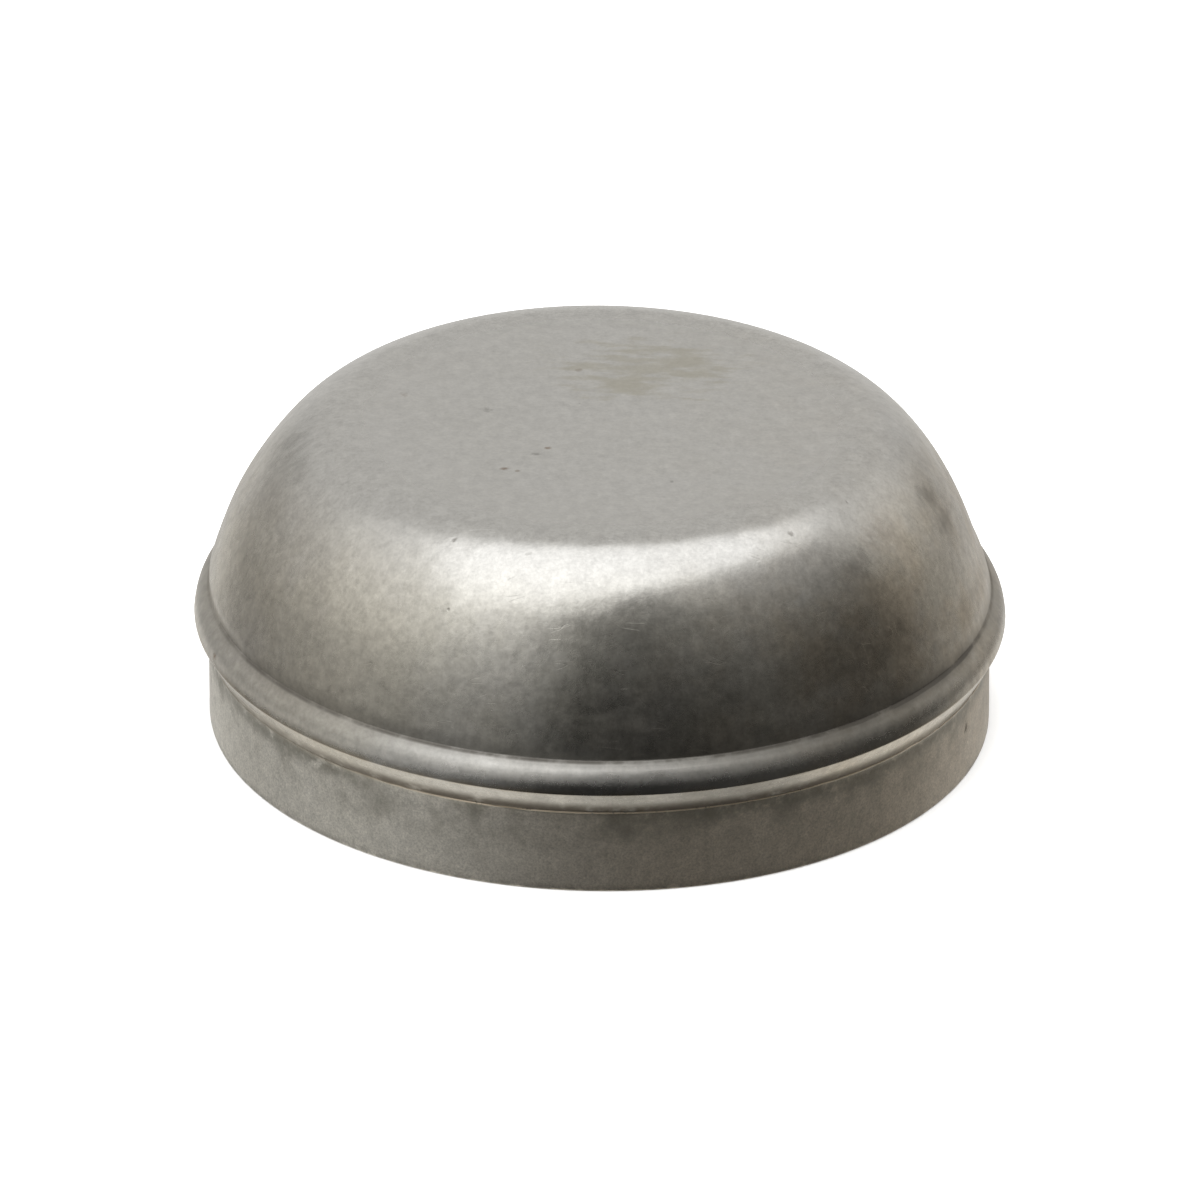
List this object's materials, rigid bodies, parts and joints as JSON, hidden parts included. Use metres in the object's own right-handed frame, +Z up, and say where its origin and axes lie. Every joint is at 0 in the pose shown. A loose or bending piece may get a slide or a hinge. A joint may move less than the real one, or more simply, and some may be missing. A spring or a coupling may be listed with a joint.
{
  "type": "hub grease cap",
  "caption": "Bare steel drive-in grease cap for a wheel hub: a flat-crowned drawn cup with a rounded stop bead above a straight press-fit skirt, open at the mouth.",
  "frame": {"origin": "middle of the open mouth, in the plane of the trimmed rim that the cap stands on", "axes": "+Z up the axis of the cap, from the mouth to the flat crown; the cap is round, so +X and +Y are free"},
  "size_m": [0.0642, 0.0642, 0.0253],
  "materials": {
    "drawn_steel": "bare drawn steel, satin, with handling marks, drawing streaks and light brown oxide in the creases"
  },
  "bodies": {
    "root": {"grease_cap": "drawn_steel"}
  },
  "joints": []
}
